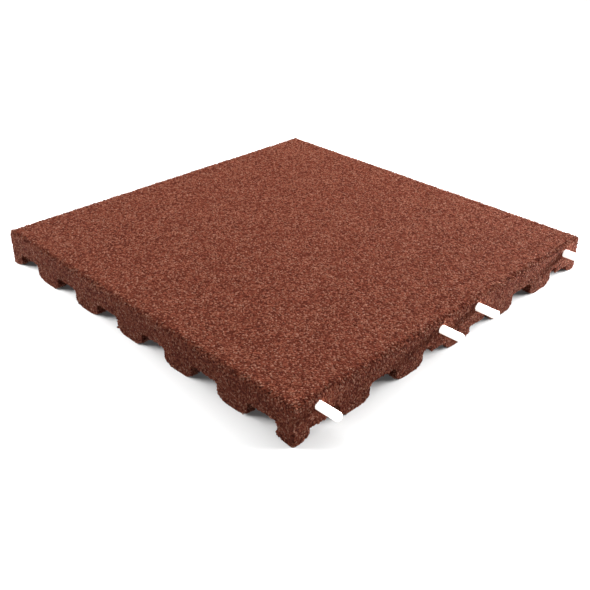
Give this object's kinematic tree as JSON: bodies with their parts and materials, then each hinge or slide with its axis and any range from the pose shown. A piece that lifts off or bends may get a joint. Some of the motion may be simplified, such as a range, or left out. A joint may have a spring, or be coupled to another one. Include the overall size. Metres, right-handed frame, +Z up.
{
  "type": "rubber safety tile",
  "caption": "Square moulded rubber granulate tile with a flat top, rounded edges, feet between crossing drainage channels and white connecting pins in one side.",
  "frame": {"origin": "middle of the underside of the tile, on the foot at its centre", "axes": "+Z up out of the walking surface, +X out of the pinned side, along the pins"},
  "size_m": [0.5255, 0.5, 0.045],
  "materials": {
    "rubber_granulate": "matte, coarse bonded granules",
    "white_plastic": "smooth moulded, slightly glossy"
  },
  "bodies": {
    "root": {"rubber_tile": "rubber_granulate", "connecting_pin_1": "white_plastic", "connecting_pin_2": "white_plastic", "connecting_pin_3": "white_plastic", "connecting_pin_4": "white_plastic"}
  },
  "joints": []
}
